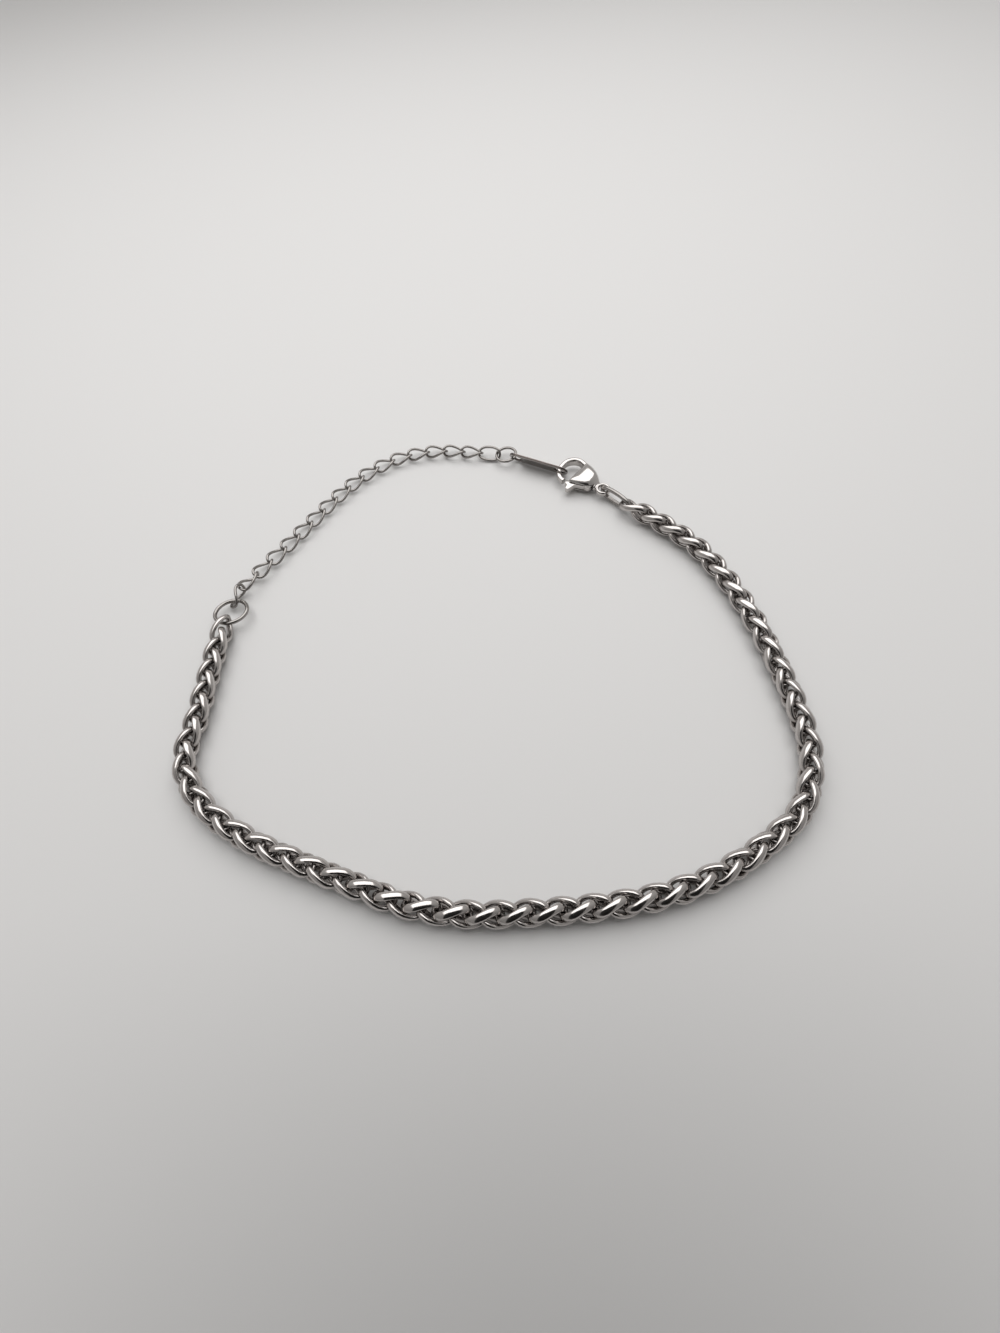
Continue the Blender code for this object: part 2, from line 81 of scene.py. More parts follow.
def makePiece(name, bm, material, nodes, body="bracelet", sharpAngle=50):
    mesh = bpy.data.meshes.new(name)
    bm.to_mesh(mesh)
    bm.free()
    mesh.materials.append(material)
    mesh.shade_smooth()
    mesh.set_sharp_from_angle(angle=radians(sharpAngle))
    piece = bpy.data.objects.new(name, mesh)
    bpy.context.scene.collection.objects.link(piece)
    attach(piece, body)
    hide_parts(*nodes)


def readTable(rows, s):
    if s <= rows[0][0]:
        return rows[0][1]
    for (s0, v0), (s1, v1) in zip(rows, rows[1:]):
        if s <= s1:
            return v0 + (v1 - v0) * (s - s0) / (s1 - s0)
    return rows[-1][1]


class Route:  # a smooth curve through points, read by its length
    def __init__(self, points, steps=40):
        ends = [points[0] * 2 - points[1]] + points + [points[-1] * 2 - points[-2]]
        self.points = []
        for a, b, c, d in zip(ends, ends[1:], ends[2:], ends[3:]):
            for step in range(steps):
                t = step / steps
                self.points.append(0.5 * (2 * b + (c - a) * t + (2 * a - 5 * b + 4 * c - d) * t ** 2
                                          + (3 * b - a - 3 * c + d) * t ** 3))
        self.points.append(points[-1])
        self.lengths = [0.0]
        for a, b in zip(self.points, self.points[1:]):
            self.lengths.append(self.lengths[-1] + (b - a).length)
        self.length = self.lengths[-1]

    def at(self, s):  # runs straight on past either end
        i = min(max(bisect_right(self.lengths, s) - 1, 0), len(self.points) - 2)
        a, b = self.points[i], self.points[i + 1]
        return a + (b - a) * ((s - self.lengths[i]) / (self.lengths[i + 1] - self.lengths[i]))

    def frameAt(self, s, reach=0.4 * mm):
        along = (self.at(s + reach) - self.at(s - reach)).normalized()
        left = up.cross(along).normalized()
        return self.at(s), along, left, along.cross(left)


# Wire: a ring or bar is spun once, and each link is that ring threaded onto its own centre line

spinRadius = 10  # wires; wide, so that each section keeps its own angle about Z


def spinWire(wire, sections, sides, closed=True):  # a whole ring, or half a turn for a bar
    bm = bmesh.new()
    place = Matrix.Translation((spinRadius * wire, 0, 0)) @ Matrix.Rotation(pi / 2, 4, 'X')
    bmesh.ops.create_circle(bm, segments=sides, radius=wire / 2, matrix=place)
    bmesh.ops.spin(bm, geom=bm.verts[:] + bm.edges[:], cent=(0, 0, 0), axis=(0, 0, 1),
                   angle=2 * pi if closed else pi, steps=sections, use_merge=closed)
    if not closed:
        bmesh.ops.holes_fill(bm, edges=bm.edges, sides=0)
    faceOutwards(bm)
    mesh = bpy.data.meshes.new("wire")
    bm.to_mesh(mesh)
    bm.free()
    return mesh


def threadWire(bm, wireMesh, wire, centres, closed=True, flat=1.0, leaf=0.0):
    # Moves a spun wire's sections onto the centres, square to the line through them. Flat below one
    # presses the outer side in and makes the wire broader, and leaf makes a link's bends narrower and
    # its long sides broader
    first = len(bm.verts)
    bm.from_mesh(wireMesh)
    bm.verts.ensure_lookup_table()
    middle = sum(centres, Vector()) / len(centres)
    last = len(centres) - 1
    turn = 2 * pi / len(centres) if closed else pi / last
    frames = []
    for i, centre in enumerate(centres):
        before = centres[i - 1] if closed or i > 0 else centre
        after = centres[(i + 1) % len(centres)] if closed or i < last else centre
        along = (after - before).normalized()
        out = centre - middle
        out = (out - along * out.dot(along)).normalized()
        broad = (1 + leaf * (abs(sin(i * turn)) - 0.5)) / flat ** 0.5
        frames.append((centre, out, out.cross(along) * broad))
    newVerts = bm.verts[first:]
    for vert in newVerts:
        i = round(atan2(vert.co.y, vert.co.x) / turn)
        if closed:
            i %= len(centres)
        elif i < 0:
            i = last
        centre, out, side = frames[i]
        spread = hypot(vert.co.x, vert.co.y) - spinRadius * wire
        if spread > 0:
            spread *= flat
        vert.co = centre + out * spread + side * vert.co.z
    return newVerts


def fuller(value, fullness):  # rounds an ellipse out towards a rounded oblong
    size = abs(value) ** fullness
    return size if value >= 0.0 else -size


def twistedOval(place, halfLength, halfWidth, sections, startTurn, twist):
    centres = []
    for i in range(sections):
        angle = 2 * pi * i / sections
        along = halfLength * fuller(cos(angle), ovalFullness)
        across = halfWidth * fuller(sin(angle), ovalFullness)
        centres.append(place(along, across, startTurn + twist * 0.5 * along / halfLength))
    return centres


def onRoute(route, s):
    def place(along, across, turn):
        point, _, left, rise = route.frameAt(s + along)
        return point + (left * cos(turn) + rise * sin(turn)) * across
    return place


# Finishes

def makeSteel(name, finish):
    # Stainless steel, tumbled and buffed: a bright, slightly warm grey mirror, softened by fine
    # wear and random stains; where the mask is set, deep in a weave or on a plate's rim, it is rougher
    # and darkened with painted shade
    material = bpy.data.materials.new(name)
    material.use_nodes = True
    shader = material.node_tree.nodes["Principled BSDF"]
    shader.inputs["Metallic"].default_value = 1.0
    coords = addNode(material, "ShaderNodeTexCoord", {})
    paintedShadeMask = addNode(material, "ShaderNodeAttribute", {}, attribute_name="paintedShadeMask")
    stain = addNode(material, "ShaderNodeTexNoise", {
        "Vector": coords.outputs["Object"], "Scale": 1 / (finish["stainSize"] * mm),
        "Detail": finish["stainDetail"]})
    # Painted shade: the mask darkens the colour towards the dark tone, added to the random stains
    stainAndPaintedShade = addNode(material, "ShaderNodeMath", {0: paintedShadeMask.outputs["Fac"], 1: finish["recessShade"]},
                   operation='MULTIPLY')
    stainAndPaintedShade = addNode(material, "ShaderNodeMath", {
        0: stain.outputs["Fac"], 1: finish["stainShade"], 2: stainAndPaintedShade.outputs[0]}, operation='MULTIPLY_ADD')
    colour = addNode(material, "ShaderNodeMix", {
        0: stainAndPaintedShade.outputs[0], 6: linearColour(finish["bright"]), 7: linearColour(finish["dark"])},
        data_type='RGBA')
    wear = addNode(material, "ShaderNodeTexNoise", {
        "Vector": coords.outputs["Object"], "Scale": 1 / (finish["wearSize"] * mm),
        "Detail": finish["wearDetail"]})
    rough = addNode(material, "ShaderNodeMapRange", {
        "Value": wear.outputs["Fac"], "From Min": finish["wearFrom"], "From Max": finish["wearTo"],
        "To Min": finish["roughness"][0], "To Max": finish["roughness"][1]})
    rough = addNode(material, "ShaderNodeMath", {
        0: paintedShadeMask.outputs["Fac"], 1: finish["recessRough"], 2: rough.outputs[0]},
        operation='MULTIPLY_ADD')
    ripple = addNode(material, "ShaderNodeTexNoise", {
        "Vector": coords.outputs["Object"], "Scale": 1 / (finish["rippleSize"] * mm),
        "Detail": finish["rippleDetail"]})
    bump = addNode(material, "ShaderNodeBump", {
        "Height": ripple.outputs["Fac"], "Strength": finish["rippleStrength"],
        "Distance": finish["rippleDepth"] * mm})
    links = material.node_tree.links
    links.new(colour.outputs[2], shader.inputs["Base Color"])
    links.new(rough.outputs[0], shader.inputs["Roughness"])
    links.new(bump.outputs[0], shader.inputs["Normal"])
    return material


buffedFinish = {  # sizes in millimetres
    "bright": "#C8C3C0", "dark": "#4A4340", "recessShade": 0.45, "recessRough": 0.08,
    "stainSize": 0.9, "stainShade": 0.12, "stainDetail": 3.0,
    "wearSize": 0.35, "wearFrom": 0.3, "wearTo": 0.7, "wearDetail": 4.0, "roughness": (0.1, 0.18),
    "rippleSize": 0.5, "rippleStrength": 0.2, "rippleDepth": 0.02, "rippleDetail": 2.0,
}
buffedSteel = makeSteel("buffed stainless steel wire", buffedFinish)
# Thin drawn wire: the same steel with a greyer, darker base colour
drawnFinish = dict(buffedFinish, bright="#9A9693", roughness=(0.1, 0.16))
drawnSteel = makeSteel("drawn stainless steel wire", drawnFinish)
# Castings keep a longer, softer ripple under their shine
castFinish = dict(buffedFinish, bright="#C9C5C2", rippleSize=0.9, roughness=(0.1, 0.17))
castSteel = makeSteel("cast and buffed stainless steel", castFinish)
# Rolled sheet is flatter still, and its flat rims are darkened with strong painted shade
plateFinish = dict(buffedFinish, bright="#B4AFAC", rippleSize=1.4, rippleStrength=0.1,
                   roughness=(0.1, 0.18), recessShade=0.9)
plateSteel = makeSteel("mirror polished stainless steel plate", plateFinish)
print("finishes made")


# Main chain

chain = {  # millimetres; the plan route is x, y, and the roll is by length along it, in degrees
    "links": 92, "width": 3.12, "wire": 0.72, "height": 1.53, "bite": 0.08,
    "endReach": 0.4, "flat": 0.76, "leaf": 0.35, "sections": 28, "sides": 12,
    "recessFrom": 0.1, "recessDepth": 0.5,  # parts of half the width, inwards from its outside
    "route": ((-33.4, 8.7), (-33.9, 6.3), (-34.45, 0.7), (-34.95, -6.01), (-35.5, -12.42),
              (-32.44, -17.83), (-26.85, -22.18), (-20.8, -25.3), (-14.84, -28.06), (-8.68, -30.75),
              (-2.21, -32.25), (4.4, -32.65), (11.1, -32.7), (17.82, -32.2), (24.23, -30.69),
              (30.33, -27.94), (35.73, -24.09), (38.54, -18.07), (38.8, -11.4), (38.2, -4.7),
              (37.2, 1.82), (35.44, 8.35), (32.67, 14.41), (28.41, 19.5), (24, 23.7)),
    "roll": ((0, 122), (18, 126), (23, 126), (29, 118), (35, 129), (42, 137), (47, 146), (52, 159),
             (57, 176), (62, 194), (67, 199), (78, 197), (84, 201), (89, 210), (94, 217), (100, 212),
             (110, 213), (117, 206), (121, 191), (125, 178), (131, 157), (136, 146), (141, 140),
             (153, 134)),
}
chainRoute = Route([Vector((x, y, chain["height"])) * mm + toFrame for x, y in chain["route"]])
chainPitch = (chainRoute.length - 2 * chain["wire"] * mm) / (chain["links"] + 1)


def chainLinkCentres(number):  # even links turn a quarter one way, odd links the other way
    wire = chain["wire"] * mm
    halfLength = 0.5 * (2 * chainPitch + wire)
    s = halfLength + 0.5 * wire + chainPitch * number
    roll = radians(readTable(chain["roll"], s / mm))
    odd = number % 2
    endReach = 0.5 * chain["endReach"] * mm
    if number == 0:
        halfLength += endReach
        s -= endReach
    elif number == chain["links"] - 1:
        halfLength += endReach
        s += endReach
    return twistedOval(onRoute(chainRoute, s), halfLength - 0.5 * chain["bite"] * mm,
                       0.5 * (chain["width"] - chain["wire"]) * mm, chain["sections"],
                       roll + odd * pi / 2, -pi / 2 if odd else pi / 2)


def makeMainChain():
    wire = chain["wire"] * mm
    ring = spinWire(wire, chain["sections"], chain["sides"])
    bm = bmesh.new()
    # Painted shade mask: the deeper a point lies in the weave, the more its steel is darkened
    paintedShadeMask = bm.verts.layers.float.new("paintedShadeMask")
    for number in range(chain["links"]):
        newVerts = threadWire(bm, ring, wire, chainLinkCentres(number), flat=chain["flat"],
                              leaf=chain["leaf"])
        point, along, _, _ = chainRoute.frameAt(chainPitch * (number + 1) + wire)
        for vert in newVerts:  # how deep in the weave, from its outside to half way in
            offset = vert.co - point
            depth = 1 - (offset - along * offset.dot(along)).length / (0.5 * chain["width"] * mm)
            share = (depth - chain["recessFrom"]) / chain["recessDepth"]
            vert[paintedShadeMask] = min(max(share, 0.0), 1.0)
    makePiece("main_chain_links", bm, buffedSteel, ["main_chain"])


makeMainChain()
print("main chain made")


# Extender

extender = {  # millimetres and degrees; the roll is by links before it
    "links": 18, "width": 2.45, "wire": 0.4, "gap": 0.12, "twist": -90, "lastTwist": 30,
    "sections": 28, "sides": 10,
    "route": ((-33.3, 10.7, 0.85), (-32.8, 12.9, 1.3), (-32.0, 14.2, 1.4), (-31.0, 15.4, 1.25),
              (-30.0, 17.0, 1.1), (-26.5, 21.8, 0.9), (-23.0, 26.5, 0.9), (-19.4, 31.2, 0.9),
              (-15.2, 35.4, 0.9), (-10.0, 38.4, 0.9), (-4.2, 39.3, 0.9), (1.5, 38.4, 0.95),
              (6.7, 37.0, 1.05)),
    "roll": ((0, -70), (1, -27), (2, -8), (3, 0), (16, 0), (17, 45)),
}


def makeExtender():
    route = Route([Vector(point) * mm + toFrame for point in extender["route"]])
    wire = extender["wire"] * mm
    overlap = wire + extender["gap"] * mm
    pitch = (route.length - overlap - wire) / extender["links"]
    halfLength = 0.5 * (pitch + overlap)
    ring = spinWire(wire, extender["sections"], extender["sides"])
    for number in range(extender["links"]):
        s = halfLength + 0.5 * wire + pitch * number
        last = number == extender["links"] - 1
        twist = radians(extender["lastTwist"] if last else extender["twist"])
        centres = twistedOval(onRoute(route, s), halfLength, 0.5 * (extender["width"] * mm - wire),
                              extender["sections"], radians(readTable(extender["roll"], number)), twist)
        bm = bmesh.new()
        threadWire(bm, ring, wire, centres)
        node = "extender_link_%02d" % (number + 1)
        makePiece(node.replace("link", "wire_link"), bm, drawnSteel, [node])


makeExtender()
print("extender made")


# Jump rings

ringWire = {"sections": 56, "sides": 14, "endEdge": 0.04, "endEdgeSteps": 2}
rings = {  # millimetres and degrees
    "big": {"node": "big_ring", "diameter": 4.95, "wire": 0.55, "centre": (-33.2, 9.75, 1.37),
            "tilt": (-9, 'X'), "split": 0.15, "splitAt": 50},
    "small": {"node": "small_ring", "diameter": 3.6, "wire": 0.45, "centre": (7.5, 36.75, 1.2),
              "tilt": (-6, 'Y'), "split": 0.03, "splitAt": 150},
}


def makeJumpRing(ring):  # bent from wire, its two ends closed up to a narrow split
    wire = ring["wire"] * mm
    radius = 0.5 * (ring["diameter"] * mm - wire)
    gap = ring["split"] * mm / radius
    sections = ringWire["sections"]
    start = radians(ring["splitAt"]) + 0.5 * gap
    centres = []
    for i in range(sections + 1):
        angle = start + (2 * pi - gap) * i / sections
        centres.append(Vector((cos(angle), sin(angle), 0)) * radius)
    bm = bmesh.new()
    bar = spinWire(wire, sections, ringWire["sides"], closed=False)
    threadWire(bm, bar, wire, centres, closed=False)
    ends = [face for face in bm.faces if len(face.verts) > 4]  # all its other faces are quads
    rims = [edge for face in ends for edge in face.edges]
    bmesh.ops.bevel(bm, geom=rims, offset=ringWire["endEdge"] * mm, segments=ringWire["endEdgeSteps"],
                    affect='EDGES', profile=0.5, material=-1)
    tilt, axis = ring["tilt"]
    bm.transform(Matrix.Translation(Vector(ring["centre"]) * mm + toFrame)
                 @ Matrix.Rotation(radians(tilt), 4, axis))
    makePiece(ring["node"] + "_wire", bm, drawnSteel, [ring["node"]])


for ring in rings.values():
    makeJumpRing(ring)
print("rings made")


# Tag

tag = {  # millimetres and degrees
    "length": 10.0, "width": 2.6, "thickness": 0.4, "hole": 1.8, "edge": 0.08, "edgeSteps": 3,
    "segments": 48, "rimSlope": 0.1,
    "tip": (8.1, 36.4, 1.27), "turn": -29.8, "lean": 30,
}


def makeTag():
    endRadius = 0.5 * tag["width"] * mm
    far = tag["length"] * mm - 2 * endRadius
    bm = bmesh.new()
    halfStep = Matrix.Rotation(pi / tag["segments"], 4, 'Z')
    bmesh.ops.create_circle(bm, segments=tag["segments"], radius=endRadius, matrix=halfStep)
    for vert in bm.verts:  # the circle's right half slides out to the far end
        if vert.co.x > 0:
            vert.co.x += far
    for along in (0, far):
        bmesh.ops.create_circle(bm, segments=tag["segments"], radius=0.5 * tag["hole"] * mm,
                                matrix=Matrix.Translation((along, 0, 0)))
    bmesh.ops.triangle_fill(bm, edges=bm.edges[:], use_beauty=True, use_dissolve=False)
    bmesh.ops.translate(bm, verts=bm.verts, vec=(endRadius, 0, -0.5 * tag["thickness"] * mm))
    raised = bmesh.ops.extrude_face_region(bm, geom=bm.faces[:])["geom"]
    bmesh.ops.translate(bm, verts=[part for part in raised if isinstance(part, bmesh.types.BMVert)],
                        vec=(0, 0, tag["thickness"] * mm))
    faceOutwards(bm)
    rims = [edge for edge in bm.edges if edge.is_manifold and edge.calc_face_angle() > rimFold]
    bmesh.ops.bevel(bm, geom=rims, offset=tag["edge"] * mm, segments=tag["edgeSteps"], affect='EDGES',
                    profile=0.5, material=-1)
    paintedShadeMask = bm.faces.layers.float.new("paintedShadeMask")
    for face in bm.faces:  # the flat rim is darkened with painted shade between its two bevelled edges
        face[paintedShadeMask] = 1.0 if abs(face.normal.z) < tag["rimSlope"] else 0.0
    bm.transform(Matrix.Translation(Vector(tag["tip"]) * mm + toFrame)
                 @ Matrix.Rotation(radians(tag["turn"]), 4, 'Z')
                 @ Matrix.Rotation(radians(90 + tag["lean"]), 4, 'X'))
    makePiece("tag_plate", bm, plateSteel, ["tag"], sharpAngle=35)


makeTag()
print("tag made")


# Lobster clasp, in its own plan: x from the eye to the head, y to the lever's side

clasp = {  # millimetres and degrees
    "eye": (21.66, 26.99, 1.27), "turn": 135.8, "eyeRadius": 1.2, "eyeHole": 0.65, "eyeHeight": 0.8,
    "eyeSides": 16, "eyeSteps": 48,
    "thickness": 2.4, "neck": 0.9, "neckFrom": 0.8, "neckLength": 1.8,
    "middle": (3.0, -0.2), "edge": 1.9, "side": 0.3, "outlineSteps": 6, "domeSteps": 10,
    "outline": ((0.8, 0.4), (0.8, -0.4), (1.2, -0.85), (1.8, -1.4), (2.6, -1.95), (3.5, -2.4),
                (4.3, -2.65), (4.85, -2.7), (5.1, -2.4), (5.1, 1.9), (4.85, 2.2), (4.3, 2.15),
                (3.5, 1.95), (2.6, 1.6), (1.8, 1.2), (1.2, 0.8)),
    "hookWidth": 0.75, "hookThickness": ((0, 1.35), (0.45, 1.3), (0.65, 1.0), (1, 0.95)),
    "hookSides": 24, "hookSteps": 48, "hookFullness": 0.6, "hookReach": 0.2,
    "hookRoute": ((4.4, -2.25), (5.3, -2.5), (6.3, -2.7), (7.2, -2.35), (7.85, -1.5), (8.0, -0.3),
                  (7.8, 0.8), (7.1, 1.75), (6.4, 2.15), (5.85, 2.25)),
    "slot": 1.1, "pivot": (2.35, 0.75), "pin": 0.35, "pinGrip": 0.2, "pinSides": 32,
    "slotOutline": ((1.3, 4.0), (1.3, 0.75), (1.45, 0.2), (1.9, -0.25), (2.4, -0.35), (5.5, -1.1),
                    (5.5, 4.0)),
    "voxel": 0.05, "buffing": 0.5, "domeBuffing": 45, "lastBuffing": 4,
}
lever = {  # millimetres and degrees; the outline runs on round the boss, back to the arm
    "outline": ((2.75, 1.6), (3.6, 1.9), (3.85, 2.2), (4.1, 3.5), (4.6, 3.6), (4.85, 2.8),
                (5.4, 2.6), (5.5, 2.1), (4.6, 1.55), (3.7, 1.0), (3.1, 0.55)),
    "boss": 0.75, "bossFrom": -20, "bossTurn": 270, "bossSteps": 18,
    "thickness": 0.84, "bore": 0.48, "boreDepth": 2, "edge": 0.1, "edgeSteps": 3,
}
claspPlace = (Matrix.Translation(Vector(clasp["eye"]) * mm + toFrame)
              @ Matrix.Rotation(radians(clasp["turn"]), 4, 'Z'))


def plateFrom(outline, thickness):  # a plate between two heights, about the plan's own height
    bm = bmesh.new()
    bm.faces.new([bm.verts.new((x * mm, y * mm, -0.5 * thickness * mm)) for x, y in outline])
    raised = bmesh.ops.extrude_face_region(bm, geom=bm.faces[:])["geom"]
    bmesh.ops.translate(bm, verts=[part for part in raised if isinstance(part, bmesh.types.BMVert)],
                        vec=(0, 0, thickness * mm))
    faceOutwards(bm)
    return bm


def neckShare(x):  # the body grows from the neck's thickness to its own
    part = min(max((x / mm - clasp["neckFrom"]) / clasp["neckLength"], 0.0), 1.0)
    part = part * part * (3 - 2 * part)
    thin = clasp["neck"] / clasp["thickness"]
    return thin + (1 - thin) * part


def claspBodyShell():  # half the body is raised from its outline in steps, then mirrored down
    points = [Vector((x, y, 0)) * mm for x, y in clasp["outline"]]
    steps = clasp["outlineSteps"]
    loop = Route(points[-2:] + points + points[:2], steps)
    smooth = loop.points[2 * steps:(2 + len(points)) * steps]
    middle = Vector((*clasp["middle"], 0)) * mm
    half = 0.5 * clasp["thickness"] * mm
    bm = bmesh.new()
    top = [bm.faces.new([bm.verts.new(point) for point in smooth])]
    levels = [(clasp["side"], 0.0)]
    for step in range(1, clasp["domeSteps"] + 1):
        angle = step / clasp["domeSteps"] * pi / 2
        height = clasp["side"] + (1 - clasp["side"]) * sin(angle)
        levels.append((height, clasp["edge"] * (1 - cos(angle))))
    scale = 1.0
    floor = 0.0
    for height, inset in levels:
        top, newVerts = raiseFaces(bm, top)
        newScale = 1 - inset * mm / middle.x
        share = newScale / scale
        bmesh.ops.translate(bm, verts=newVerts, vec=(0, 0, (height - floor) * half))
        bmesh.ops.scale(bm, vec=(share, share, 1), verts=newVerts, space=Matrix.Translation(-middle))
        scale = newScale
        floor = height
    for vert in bm.verts:
        vert.co.z *= neckShare(vert.co.x)
    bmesh.ops.mirror(bm, geom=bm.verts[:] + bm.edges[:] + bm.faces[:], axis='Z', merge_dist=0.001 * mm)
    faceOutwards(bm)
    return bm


def claspHookShell():  # a bar of rounded oblong section, bent round the head
    route = Route([Vector((x, y, 0)) * mm for x, y in clasp["hookRoute"]])
    steps = clasp["hookSteps"]
    full = clasp["hookFullness"]
    wide = 0.5 * clasp["hookWidth"] * mm
    bm = bmesh.new()
    bmesh.ops.create_circle(bm, cap_ends=True, segments=clasp["hookSides"], radius=1)
    for vert in bm.verts:
        vert.co = Vector((fuller(vert.co.x, full) * wide, fuller(vert.co.y, full), 0))
    end = bm.faces[:]
    section = [vert.co.copy() for vert in end[0].verts]
    for i in range(steps + 1):
        point, _, left, rise = route.frameAt(route.length * i / steps, clasp["hookReach"] * mm)
        if i > 0:
            end, _ = raiseFaces(bm, end)
        high = 0.5 * readTable(clasp["hookThickness"], i / steps) * mm
        for vert, co in zip(end[0].verts, section):
            vert.co = point + left * co.x + rise * co.y * high
    bmesh.ops.holes_fill(bm, edges=bm.edges, sides=0)
    faceOutwards(bm)
    return bm


def claspEyeShell():
    middle = 0.5 * (clasp["eyeRadius"] + clasp["eyeHole"])
    band = clasp["eyeRadius"] - clasp["eyeHole"]
    bm = bmesh.new()
    place = Matrix.Translation((middle * mm, 0, 0)) @ Matrix.Rotation(pi / 2, 4, 'X')
    bmesh.ops.create_circle(bm, segments=clasp["eyeSides"], radius=0.5 * band * mm, matrix=place)
    bmesh.ops.scale(bm, vec=(1, 1, clasp["eyeHeight"] / band), verts=bm.verts)
    bmesh.ops.spin(bm, geom=bm.verts[:] + bm.edges[:], cent=(0, 0, 0), axis=(0, 0, 1), angle=2 * pi,
                   steps=clasp["eyeSteps"], use_merge=True)
    faceOutwards(bm)
    return bm


def roundBar(radius, height):  # upright on the lever's pivot: the pin, and the bore round it
    bm = bmesh.new()
    bmesh.ops.create_cone(bm, cap_ends=True, segments=clasp["pinSides"], radius1=radius * mm,
                          radius2=radius * mm, depth=height * mm,
                          matrix=Matrix.Translation(Vector((*clasp["pivot"], 0)) * mm))
    return bm


def helperObject(name, bm):
    mesh = bpy.data.meshes.new(name)
    bm.to_mesh(mesh)
    bm.free()
    helper = bpy.data.objects.new(name, mesh)
    bpy.context.scene.collection.objects.link(helper)
    return helper


def finishedBmesh(thing, helpers=()):  # the mesh with its modifiers applied; the objects go
    bpy.context.view_layer.update()
    result = thing.evaluated_get(bpy.context.evaluated_depsgraph_get())
    bm = bmesh.new()
    bm.from_mesh(result.to_mesh())
    result.to_mesh_clear()
    for helper in (thing, *helpers):
        bpy.data.objects.remove(helper, do_unlink=True)
    return bm


def cutOut(thing, cutter):
    cut = thing.modifiers.new("cut", 'BOOLEAN')
    cut.operation = 'DIFFERENCE'
    cut.solver = 'EXACT'
    cut.object = cutter
    return finishedBmesh(thing, (cutter,))


def castOver(thing, rounds):  # runs its shells together at the voxel size, then buffs them smooth
    remesh = thing.modifiers.new("cast", 'REMESH')
    remesh.mode = 'VOXEL'
    remesh.voxel_size = clasp["voxel"] * mm
    buff = thing.modifiers.new("buff", 'SMOOTH')
    buff.factor = clasp["buffing"]
    buff.iterations = rounds


def makeClaspBody():  # the dome is rounded over before its slot is cut and the rest is cast on
    body = helperObject("claspShell", claspBodyShell())
    castOver(body, clasp["domeBuffing"])
    bm = cutOut(body, helperObject("claspSlot", plateFrom(clasp["slotOutline"], clasp["slot"])))
    pin = roundBar(clasp["pin"], clasp["slot"] + 2 * clasp["pinGrip"])
    for shell in (claspHookShell(), claspEyeShell(), pin):
        part = bpy.data.meshes.new("claspPart")
        shell.to_mesh(part)
        shell.free()
        bm.from_mesh(part)
    joined = helperObject("claspJoined", bm)
    castOver(joined, clasp["lastBuffing"])
    bm = finishedBmesh(joined)
    bm.transform(claspPlace)
    makePiece("clasp_body_cast", bm, castSteel, ["clasp_body"], sharpAngle=180)


def makeClaspLever():
    outline = list(lever["outline"])
    for i in range(lever["bossSteps"] + 1):
        angle = radians(lever["bossFrom"] - lever["bossTurn"] * i / lever["bossSteps"])
        outline.append((clasp["pivot"][0] + lever["boss"] * cos(angle),
                        clasp["pivot"][1] + lever["boss"] * sin(angle)))
    bm = plateFrom(outline, lever["thickness"])
    rims = [edge for edge in bm.edges if edge.calc_face_angle() > rimFold]
    bmesh.ops.bevel(bm, geom=rims, offset=lever["edge"] * mm, segments=lever["edgeSteps"],
                    affect='EDGES', profile=0.5, material=-1)
    bore = helperObject("leverBore", roundBar(lever["bore"], lever["boreDepth"]))
    bm = cutOut(helperObject("leverShell", bm), bore)
    bm.transform(claspPlace)
    makePiece("clasp_lever_plate", bm, castSteel, ["clasp_lever"], "lever", sharpAngle=35)


makeClaspBody()
makeClaspLever()
print("clasp made")


# End link, upright from the clasp's eye to the chain's last opening

endLink = {"width": 2.5, "wire": 0.68, "sections": 36, "sides": 14, "sink": 0.12}


def makeEndLink():
    wire = endLink["wire"] * mm
    reach = 0.5 * (chainPitch + (chain["wire"] - chain["endReach"]) * mm) + endLink["sink"] * mm
    start = Vector(clasp["eye"]) * mm + toFrame
    end = chainRoute.at(chainRoute.length - reach)
    along = (end - start).normalized()
    side = up.cross(along).normalized()
    rise = along.cross(side)

    def place(a, b, turn):
        return (start + end) / 2 + along * a + (rise * cos(turn) + side * sin(turn)) * b

    centres = twistedOval(place, 0.5 * (end - start).length, 0.5 * (endLink["width"] * mm - wire),
                          endLink["sections"], 0, 0)
    bm = bmesh.new()
    threadWire(bm, spinWire(wire, endLink["sections"], endLink["sides"]), wire, centres)
    makePiece("end_link_wire", bm, drawnSteel, ["end_link"])


makeEndLink()
print("end link made")


# Table, light and camera

studio = {  # metres, degrees, watts and sRGB; the camera's lens and sensor in millimetres
    "table": "#D8D7D6", "tableRough": 0.6, "tableSize": 1.6,
    "room": "#F4F2F0", "dimSide": 0.35, "brightSide": 0.56, "dimUntil": -0.6, "brightFrom": 0.5,
    "light": (-0.005, 0.115, 0.26), "lightSize": (0.42, 0.36), "lightPower": 0.83,
    "camera": (0.001845, -0.044619, 0.068435), "lookDown": 60, "roll": 5, "lens": 16.2, "sensor": 36,
    "flag": "#161616", "flagRough": 0.5, "flagWidth": 0.085, "flagAbove": 0.012, "flagBelow": 0.13,
    "flagBehind": 0.004,
}


def mattMaterial(name, colour, roughness):
    material = bpy.data.materials.new(name)
    material.use_nodes = True
    shader = material.node_tree.nodes["Principled BSDF"]
    shader.inputs["Roughness"].default_value = roughness
    shader.inputs["Base Color"].default_value = linearColour(colour)
    return material


def stageSheet(name, bm, material):
    mesh = bpy.data.meshes.new(name)
    bm.to_mesh(mesh)
    bm.free()
    mesh.materials.append(material)
    sheet = bpy.data.objects.new(name, mesh)
    bpy.context.scene.collection.objects.link(sheet)
    return sheet


def makeTable():
    # Matt white laminate: a pale, slightly warm grey with no gloss
    laminate = mattMaterial("matt white laminate", studio["table"], studio["tableRough"])
    bm = bmesh.new()
    bmesh.ops.create_grid(bm, x_segments=1, y_segments=1, size=studio["tableSize"] / 2)
    stageSheet("table", bm, laminate)


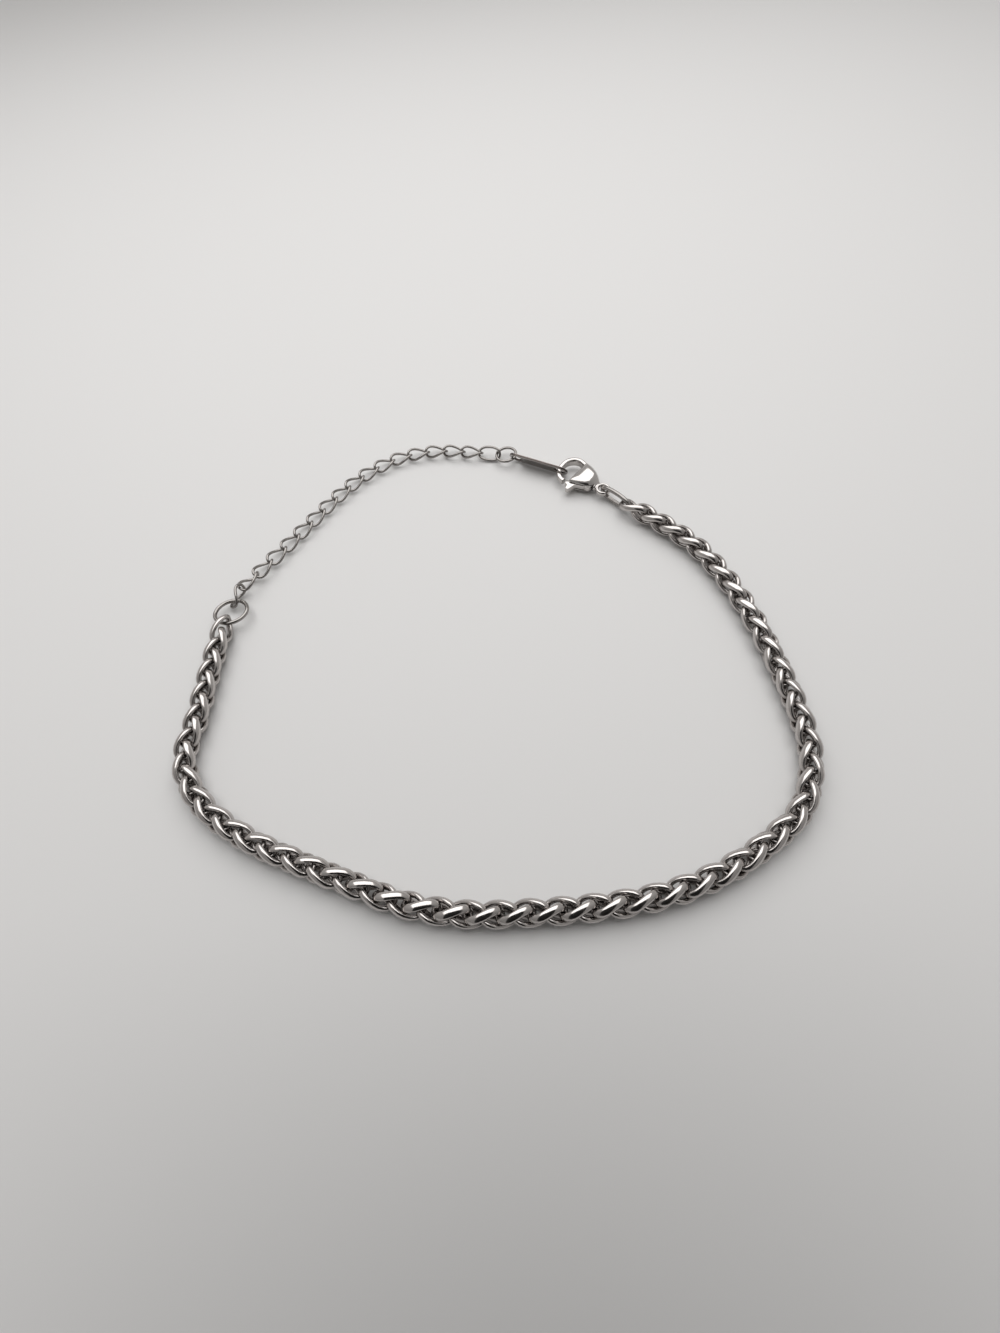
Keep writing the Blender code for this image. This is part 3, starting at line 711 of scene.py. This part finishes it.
def makeLight():  # one wide soft box overhead, a little behind the bracelet and aimed at its middle
    light = bpy.data.lights.new("overhead", 'AREA')
    light.shape = 'RECTANGLE'
    light.size, light.size_y = studio["lightSize"]
    light.energy = studio["lightPower"]
    lamp = bpy.data.objects.new("overhead", light)
    bpy.context.scene.collection.objects.link(lamp)
    lamp.location = studio["light"]
    lamp.visible_camera = False
    lamp.rotation_euler = (-Vector(studio["light"])).to_track_quat('-Z', 'Y').to_euler()


def makeCamera():
    down, roll = radians(studio["lookDown"]), radians(studio["roll"])
    look = Vector((0, cos(down), -sin(down)))
    level = Vector((1, 0, 0))
    rise = Vector((0, sin(down), cos(down)))
    right = cos(roll) * level - sin(roll) * rise
    top = sin(roll) * level + cos(roll) * rise
    data = bpy.data.cameras.new("camera")
    data.sensor_fit = 'AUTO'
    data.sensor_width = studio["sensor"]
    data.lens = studio["lens"]
    data.clip_start = mm
    camera = bpy.data.objects.new("camera", data)
    bpy.context.scene.collection.objects.link(camera)
    camera.matrix_world = (Matrix.Translation(studio["camera"])
                           @ Matrix((right, top, -look)).transposed().to_4x4())
    bpy.context.scene.camera = camera


def makeFlag():
    # Black card close behind the lens: it shades the table's near side and shows dark in the steel,
    # and cameras don't see it
    card = mattMaterial("black card", studio["flag"], studio["flagRough"])
    place = bpy.context.scene.camera.matrix_world
    half = studio["flagWidth"] / 2
    bottom, top = -studio["flagBelow"], studio["flagAbove"]
    bm = bmesh.new()
    bm.faces.new([bm.verts.new(place @ Vector((x, y, studio["flagBehind"])))
                  for x, y in ((-half, top), (-half, bottom), (half, bottom), (half, top))])
    stageSheet("flag", bm, card).visible_camera = False


def makeWorld():
    # A room that is bright behind the table and dim on the viewer's side
    world = bpy.data.worlds.new("studio")
    world.use_nodes = True
    background = world.node_tree.nodes["Background"]
    coords = addNode(world, "ShaderNodeTexCoord", {})
    axes = addNode(world, "ShaderNodeSeparateXYZ", {"Vector": coords.outputs["Generated"]})
    shade = addNode(world, "ShaderNodeMapRange", {
        "Value": axes.outputs["Y"], "From Min": studio["dimUntil"], "From Max": studio["brightFrom"],
        "To Min": studio["dimSide"], "To Max": studio["brightSide"]}, interpolation_type='SMOOTHSTEP')
    background.inputs["Color"].default_value = linearColour(studio["room"])
    world.node_tree.links.new(shade.outputs[0], background.inputs["Strength"])
    bpy.context.scene.world = world


makeTable()
makeWorld()
makeLight()
makeCamera()
makeFlag()
bpy.context.scene.view_settings.view_transform = 'Standard'
print("studio made")
